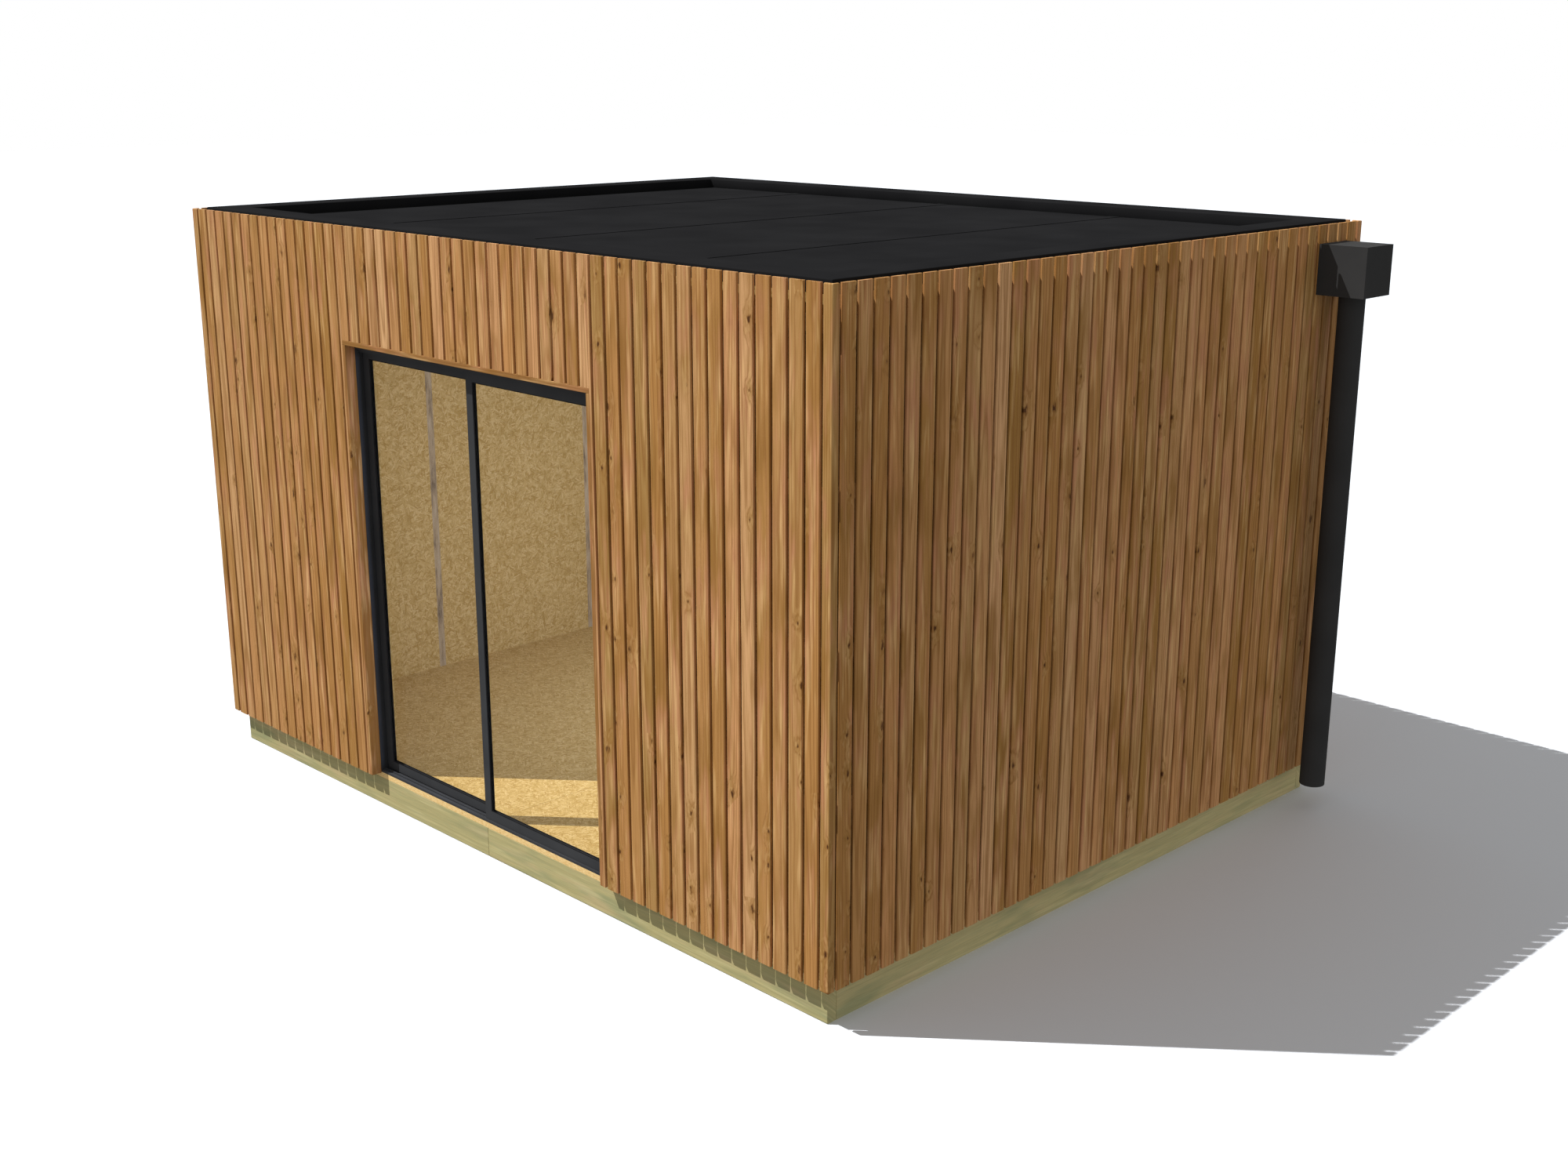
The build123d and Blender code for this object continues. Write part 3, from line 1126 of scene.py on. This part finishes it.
@dataclass
class PileStrip(NodeShape):
    """Two upright rows of short tufts that point towards +Y."""

    count: int
    spacing: float
    strip_width: float
    pile_length: float
    tuft_radius: float = 1.3 * MM
    tip_radius: float = 0.4 * MM
    tuft_sides: int = 5
    shortest: float = 0.85
    seed: int = 5

    def grow(self, tree: Tree, given: dict[str, Socket]) -> Node:
        """Stand a tuft on each place of two rows, none longer than the pile.

        Args:
            tree: The tree to fill.
            given: The tree's inputs, by name.

        Returns:
            The tufts, as instances.
        """
        cone = {
            "Vertices": given["tuft_sides"],
            "Radius Top": given["tip_radius"],
            "Radius Bottom": given["tuft_radius"],
            "Depth": given["pile_length"],
        }
        tuft = add_node(tree, "GeometryNodeMeshCone", cone)
        step = add_node(tree, "CombineXYZ", {"Z": given["spacing"]})
        rows = add_node(tree, "GeometryNodeJoinGeometry")
        for share in (-0.25, 0.25):
            aside = add_node(tree, "Math", {0: given["strip_width"], 1: share}, operation="MULTIPLY")
            start = add_node(tree, "CombineXYZ", {"X": aside})
            line = {"Count": given["count"], "Start Location": start, "Offset": step}
            row = add_node(tree, "GeometryNodeMeshLine", line)
            tree.links.new(row.outputs[0], rows.inputs[0])
        lengths = {RANDOM_LOW: given["shortest"], RANDOM_HIGH: 1.0, "Seed": given["seed"]}
        trim = add_node(tree, "FunctionNodeRandomValue", lengths).outputs[RANDOM_OUT]
        stand = {
            "Points": rows,
            "Instance": tuft,
            "Rotation": (-math.pi / 2, 0.0, 0.0),
            "Scale": add_node(tree, "CombineXYZ", {"X": 1.0, "Y": 1.0, "Z": trim}),
        }
        return add_node(tree, "GeometryNodeInstanceOnPoints", stand)


@dataclass
class Studio:
    """Camera at the photograph's place, a high sun from the front left, a pale floor and sky."""

    eye: tuple[float, float, float] = (6.0742, -5.7898, 3.2711)
    tilt_degrees: float = 74.0085
    heading_degrees: float = 45.497
    lens_mm: float = 42.817
    sun_way: tuple[float, float, float] = (0.443, 0.387, -0.791)
    sun_strength: float = 4.1
    sun_angle_degrees: float = 0.25
    sky_strength: float = 0.4
    room_light: str = "#C8D8FF"
    ceiling_power: float = 34.0
    side_power: float = 38.0
    front_power: float = 16.0
    lamp_spread_degrees: float = 100.0
    lamp_gap: float = 20 * MM
    lamp_share: float = 0.85
    floor_reach: float = 60.0
    floor_drop: float = 1 * MM

    def build(self) -> None:
        """Set the camera, lamps, sky and floor."""
        self.set_camera()
        self.hang_lamps()
        self.paint_sky()
        self.lay_floor()

    def set_camera(self) -> None:
        """Stand the camera where the photograph was taken from."""
        camera = bpy.data.cameras.new("camera")
        camera.lens = self.lens_mm
        camera.sensor_fit = "HORIZONTAL"
        stand = put_in_scene("camera", camera)
        stand.location = self.eye
        stand.rotation_euler = (math.radians(self.tilt_degrees), 0.0, math.radians(self.heading_degrees))
        bpy.context.scene.camera = stand

    def hang_lamps(self) -> None:
        """Hang the sun, and three soft unseen lamps that stand for the light inside the room."""
        sun = bpy.data.lights.new("sun", "SUN")
        sun.energy = self.sun_strength
        sun.angle = math.radians(self.sun_angle_degrees)
        self.hang(sun, (0.0, 0.0, 0.0), self.sun_way)

        foot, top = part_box("right_wall")
        door_side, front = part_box("front_wall_right")
        middle = (foot.z + top.z) / 2
        over = (0.0, 0.0, top.z - self.lamp_gap)
        beside = (foot.x - self.lamp_gap, 0.0, middle)
        before = ((door_side.x + foot.x) / 2, front.y + self.lamp_gap, middle)
        lamps = (
            ("ceiling_light", self.ceiling_power, over, (0.0, 0.0, -1.0), 2 * foot.x),
            ("side_light", self.side_power, beside, (-1.0, 0.0, 0.0), top.z - foot.z),
            ("front_light", self.front_power, before, (0.0, 1.0, 0.0), foot.x - door_side.x),
        )
        for name, power, place, way, size in lamps:
            panel = bpy.data.lights.new(name, "AREA")
            panel.energy = power
            panel.color = linear(self.room_light)[:3]
            panel.size = size * self.lamp_share
            panel.spread = math.radians(self.lamp_spread_degrees)
            lamp = self.hang(panel, place, way)
            lamp.visible_camera = lamp.visible_glossy = lamp.visible_transmission = False

    def hang(self, light: bpy.types.Light, place: Sequence[float], way: Sequence[float]) -> bpy.types.Object:
        """Hang one light.

        Args:
            light: The light.
            place: Where it hangs.
            way: The way that it shines.

        Returns:
            The new object.
        """
        lamp = put_in_scene(light.name, light)
        lamp.location = place
        lamp.rotation_euler = Vector(way).to_track_quat("-Z", "Y").to_euler()
        return lamp

    def paint_sky(self) -> None:
        """Light evenly all round, and show plain white to the eye, to gloss and through glass."""
        world = bpy.data.worlds.new("pale_sky")
        bpy.context.scene.world = world
        world.use_nodes = True
        tree = world.node_tree
        tree.nodes.clear()
        path = add_node(tree, "LightPath").outputs
        eye = path["Is Camera Ray"]
        for ray in ("Is Glossy Ray", "Is Transmission Ray"):
            eye = add_node(tree, "Math", {0: eye, 1: path[ray]}, operation="MAXIMUM")
        light, white = (
            add_node(tree, "Background", {"Color": linear("#FFFFFF"), "Strength": strength})
            for strength in (self.sky_strength, 1.0)
        )
        mix = add_node(tree, "MixShader", {"Fac": eye, 1: light, 2: white})
        add_node(tree, "OutputWorld", {"Surface": mix})
        bpy.context.scene.view_settings.view_transform = "Standard"

    def lay_floor(self) -> None:
        """Lay a wide level sheet just under the base."""
        shape = bmesh.new()
        bmesh.ops.create_grid(shape, x_segments=1, y_segments=1, size=self.floor_reach)
        bmesh.ops.translate(shape, verts=shape.verts, vec=(0.0, 0.0, -self.floor_drop))
        mesh = mesh_from(shape)
        mesh.materials.append(FLOOR_SHEET.material())
        put_in_scene("studio_floor", mesh)


@dataclass
class Base:
    """Treated beams round the floor, joists between them and the deck in two sheets."""

    beam_arris: float = 3 * MM
    sheet_arris: float = 1.5 * MM
    edge_depth: float = 3 * MM

    def build(self) -> None:
        """Make the beams and the deck sheets, and dress the joists."""
        beams = (
            ("front_base_beam_left", Axis.X),
            ("front_base_beam_right", Axis.X),
            ("rear_base_beam", Axis.X),
            ("left_base_beam", Axis.Y),
            ("right_base_beam", Axis.Y),
        )
        for number, (node, grain) in enumerate(beams):
            seed = (number + 0.5) / len(beams)
            mesh = eased_board(*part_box(node), self.beam_arris, grain, seed)
            name = node.replace("base_beam", "base_timber")
            place_piece(name, mesh, TREATED_PINE, replaced=[node])
        dress(["floor_joists"], JOIST_PINE)

        outer_low, outer_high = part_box("floor_deck")
        inset = Vector((self.edge_depth, self.edge_depth, 0.0))
        low, high = outer_low + inset, outer_high - inset
        edge = mesh_from(rectangular_ring(outer_low, outer_high, low, high))
        place_piece("floor_sheet_edges", edge, SAWN_EDGE)
        sheets = []
        for start, end in ((low.x, 0.0), (0.0, high.x)):
            shape = prism(rectangle(low, high, Axis.X), start, end, Axis.X)
            sheets.append(mesh_from(ease_edges(shape, self.sheet_arris, segments=1)))
        place_piece("floor_sheets", joined(sheets), STRAND_PANEL, replaced=["floor_deck"])


@dataclass
class Room:
    """Wall and roof panels, the studs in their joints and the battens outside."""

    front_walls: tuple[str, ...] = ("front_wall_left", "front_wall_right", "front_wall_over_door")
    other_panels: tuple[str, ...] = ("left_wall", "right_wall", "rear_wall", "roof_panel")

    def build(self) -> None:
        """Dress the panels, studs and battens."""
        dress(self.front_walls + self.other_panels, STRAND_PANEL)
        dress(["wall_panel_studs"], STUD_SPRUCE)
        dress([f"{side.name.lower()}_battens" for side in Side], BATTEN_SPRUCE)


@dataclass
class Roof:
    """A rubber sheet in lapped widths, turned up over a low kerb."""

    seams: tuple[float, ...] = (-1.13, -0.1, 0.94)
    lap_width: float = 60 * MM
    lap_height: float = 2 * MM
    kerb_ease: float = 5 * MM
    kerb_segments: int = 3
    kerb_smooth_degrees: float = 40.0

    def build(self) -> None:
        """Make the lapped sheet and the kerb's cover."""
        low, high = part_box("roof_membrane")
        plain = high.z - self.lap_height
        outline = [(low.x, low.z), (low.x, plain)]
        for seam in self.seams:
            start = seam - self.lap_width
            outline += [(start, plain), (start, high.z), (seam, high.z), (seam, plain)]
        outline += [(high.x, plain), (high.x, low.z)]
        sheet = mesh_from(prism(outline, low.y, high.y, Axis.Y))
        place_piece("lapped_roof_sheet", sheet, ROOF_RUBBER, replaced=["roof_membrane"])
        self.cover_kerb(low, high)

    def cover_kerb(self, inner_low: Vector, inner_high: Vector) -> None:
        """Wrap the four kerbs in one skin with soft edges.

        Args:
            inner_low: The lowest corner inside the kerb.
            inner_high: The highest corner inside the kerb.
        """
        kerbs = [f"{side.name.lower()}_roof_kerb" for side in Side]
        low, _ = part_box("front_roof_kerb")
        _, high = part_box("rear_roof_kerb")
        shape = rectangular_ring(low, high, inner_low, inner_high)
        mesh = mesh_from(ease_edges(shape, self.kerb_ease, self.kerb_segments), self.kerb_smooth_degrees)
        place_piece("kerb_cover", mesh, ROOF_RUBBER, replaced=kerbs)


@dataclass
class Cladding:
    """Upright larch boards with open joints on every side, and a board at each corner."""

    boards_wide: int = 52
    boards_deep: int = 41
    gap: float = 11.6 * MM
    corner_width: float = 42.7 * MM
    corner_depth: float = 32.6 * MM
    arris: float = 3.5 * MM

    def build(self) -> None:
        """Board the four sides and the corners."""
        low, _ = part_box("front_cladding_left")
        _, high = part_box("rear_cladding")
        half_wide = high.x - self.corner_width - self.gap / 2
        half_deep = high.y - self.corner_depth - self.gap / 2
        door_low, door_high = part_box("front_cladding_over_door")
        stretches = (
            ("front_cladding_left", Side.FRONT, -half_wide, door_low.x),
            ("front_cladding_over_door", Side.FRONT, door_low.x, door_high.x),
            ("front_cladding_right", Side.FRONT, door_high.x, half_wide),
            ("right_cladding", Side.RIGHT, -half_deep, half_deep),
            ("rear_cladding", Side.REAR, -half_wide, half_wide),
            ("left_cladding", Side.LEFT, -half_deep, half_deep),
        )
        for seed, (node, side, start, end) in enumerate(stretches):
            if side in (Side.FRONT, Side.REAR):
                half, count, outward = half_wide, self.boards_wide, high.y
            else:
                half, count, outward = half_deep, self.boards_deep, high.x
            pitch = 2 * half / count
            mesh = self.stretch(node, end - start, pitch, -((start + half) % pitch), seed)
            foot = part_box(node)[0].z
            turn = Matrix.Rotation(math.radians(side.value), 4, "Z")
            mesh.transform(turn @ Matrix.Translation((start, -outward, foot)))
            name = node.replace("cladding", "boards")
            place_piece(name, mesh, OILED_LARCH, replaced=[node])
        self.board_corners(low, high)

    def stretch(self, node: str, run: float, pitch: float, first_gap: float, seed: int) -> Mesh:
        """Make the boards of one stretch of wall, along X from 0.

        Args:
            node: The solid that the boards stand for.
            run: How long the stretch is.
            pitch: From one joint to the next.
            first_gap: Where the middle of the first joint is.
            seed: What tells the stretch from the others.

        Returns:
            The boards' mesh.
        """
        low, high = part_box(node)
        boards = UprightBoards(
            OILED_LARCH,
            count=math.ceil((run - first_gap) / pitch),
            run=run,
            pitch=pitch,
            gap=self.gap,
            first_gap=first_gap,
            height=high.z - low.z,
            thickness=min(high.x - low.x, high.y - low.y),
            arris=self.arris,
            seed=seed,
        )
        return boards.mesh()

    def board_corners(self, low: Vector, high: Vector) -> None:
        """Stand a board with a rebated back at each corner, on the ends of the battens.

        Args:
            low: The lowest corner of all the boards.
            high: The highest corner of all the boards.
        """
        front_low, front_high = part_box("front_cladding_left")
        thickness = front_high.y - front_low.y
        outline = (
            (0.0, 0.0),
            (self.corner_width, 0.0),
            (self.corner_width, thickness),
            (thickness, thickness),
            (thickness, self.corner_depth),
            (0.0, self.corner_depth),
        )
        corners = [(x, y) for x in ((low.x, 1), (high.x, -1)) for y in ((low.y, 1), (high.y, -1))]
        boards = []
        for number, ((x, inward_x), (y, inward_y)) in enumerate(corners):
            section = [(x + inward_x * across, y + inward_y * deep) for across, deep in outline]
            shape = ease_edges(prism(section, front_low.z, front_high.z, Axis.Z), self.arris)
            boards.append(mark_grain(mesh_from(shape), Axis.Z, (number + 0.5) / len(corners)))
        place_piece("corner_boards", joined(boards), OILED_LARCH)


@dataclass
class Doorway:
    """The larch lining, the black frame and the two glazed leaves."""

    lining_arris: float = 2 * MM
    bead_width: float = 4 * MM
    bead_depth: float = 2.5 * MM
    glass_rebate: float = 10 * MM
    pile_width: float = 5 * MM
    pile_spacing: float = 4 * MM
    pile_clearance: float = 0.5 * MM
    pile_end_margin: float = 12 * MM

    def build(self) -> None:
        """Line the doorway, dress the door, and add its beads and pile strip."""
        lining = (("left", Axis.Z), ("right", Axis.Z), ("head", Axis.X))
        for number, (part, grain) in enumerate(lining):
            node = f"door_lining_{part}"
            seed = (number + 0.3) / len(lining)
            mesh = eased_board(*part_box(node), self.lining_arris, grain, seed)
            # The lining boards take the darker larch, whose tones are painted shade
            place_piece(f"lining_board_{part}", mesh, LINING_LARCH_PAINTED_SHADE, replaced=[node])
        dress(("door_jamb_left", "door_jamb_right", "door_head", "door_sill"), POWDER_COAT)
        for leaf, body in (("fixed_leaf", Body.BUILDING), ("sliding_leaf", Body.SLIDING_LEAF)):
            dress([f"{leaf}_frame"], POWDER_COAT)
            dress([f"{leaf}_glass"], DOOR_GLASS)
            self.bead_leaf(leaf, body)
        dress(["sliding_leaf_glides"], GLIDE_NYLON)
        self.hang_pile()

    def bead_leaf(self, leaf: str, body: Body) -> None:
        """Press a bead between the glass and the frame, on both faces of a leaf.

        Args:
            leaf: The leaf's name.
            body: What it moves with.
        """
        low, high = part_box(f"{leaf}_glass")
        bead = GlazingBead(
            BEAD_RUBBER,
            width=high.x - low.x - 2 * self.glass_rebate,
            height=high.z - low.z - 2 * self.glass_rebate,
            bead_width=self.bead_width,
            bead_depth=self.bead_depth,
        )
        middle = (low + high) / 2
        upright = Matrix.Rotation(math.pi / 2, 4, "X")
        meshes = []
        for face in (low.y - self.bead_depth / 2, high.y + self.bead_depth / 2):
            mesh = bead.mesh()
            mesh.transform(Matrix.Translation((middle.x, face, middle.z)) @ upright)
            meshes.append(mesh)
        place_piece(f"{leaf}_beads", joined(meshes), BEAD_RUBBER, body)

    def hang_pile(self) -> None:
        """Fix a pile strip to the back of the fixed leaf's inner stile, just clear of the sliding leaf."""
        fixed_low, fixed_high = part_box("fixed_leaf_frame")
        sliding_low, sliding_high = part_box("sliding_leaf_frame")
        length = sliding_high.z - sliding_low.z - 2 * self.pile_end_margin
        strip = PileStrip(
            PILE_FIBRE,
            count=int(length / self.pile_spacing),
            spacing=self.pile_spacing,
            strip_width=self.pile_width,
            pile_length=sliding_low.y - fixed_high.y - self.pile_clearance,
        )
        mesh = strip.mesh()
        middle = (fixed_low.x + sliding_high.x) / 2
        mesh.transform(Matrix.Translation((middle, fixed_high.y, sliding_low.z + self.pile_end_margin)))
        place_piece("interlock_pile", mesh, PILE_FIBRE)


@dataclass
class Rainwater:
    """A box hopper with a lid, and a round pipe under it."""

    pipe_wall: float = 3.2 * MM
    rim_ease: float = 0.8 * MM
    pipe_sides: int = 96
    pipe_smooth_degrees: float = 30.0

    def build(self) -> None:
        """Dress the hopper and turn the pipe."""
        dress(("rainwater_hopper", "hopper_lid"), RAINWATER_PAINT)
        low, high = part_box("downpipe")
        radius = (high.x - low.x) / 2
        bore = radius - self.pipe_wall
        ease = self.rim_ease
        section = (
            (radius - ease, low.z),
            (radius, low.z + ease),
            (radius, high.z - ease),
            (radius - ease, high.z),
            (bore + ease, high.z),
            (bore, high.z - ease),
            (bore, low.z + ease),
            (bore + ease, low.z),
        )
        middle = (low + high) / 2
        shape = bmesh.new()
        rings = []
        for side in range(self.pipe_sides):
            turn = math.tau * side / self.pipe_sides
            across, deep = math.cos(turn), math.sin(turn)
            places = [(middle.x + reach * across, middle.y + reach * deep, level) for reach, level in section]
            rings.append([shape.verts.new(place) for place in places])
        for ring, after in zip(rings, rings[1:] + rings[:1]):
            bridge(shape, ring, after)
        mesh = mesh_from(shape, self.pipe_smooth_degrees)
        place_piece("round_downpipe", mesh, RAINWATER_PAINT, replaced=["downpipe"])


def main() -> None:
    """Build the studio and every sub-assembly in turn."""
    logging.basicConfig(level=logging.INFO, format="%(name)s: %(message)s")
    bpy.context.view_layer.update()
    for part in (Studio(), Base(), Room(), Roof(), Cladding(), Doorway(), Rainwater()):
        LOG.info("building %s", type(part).__name__)
        part.build()


if __name__ == "__main__":
    main()
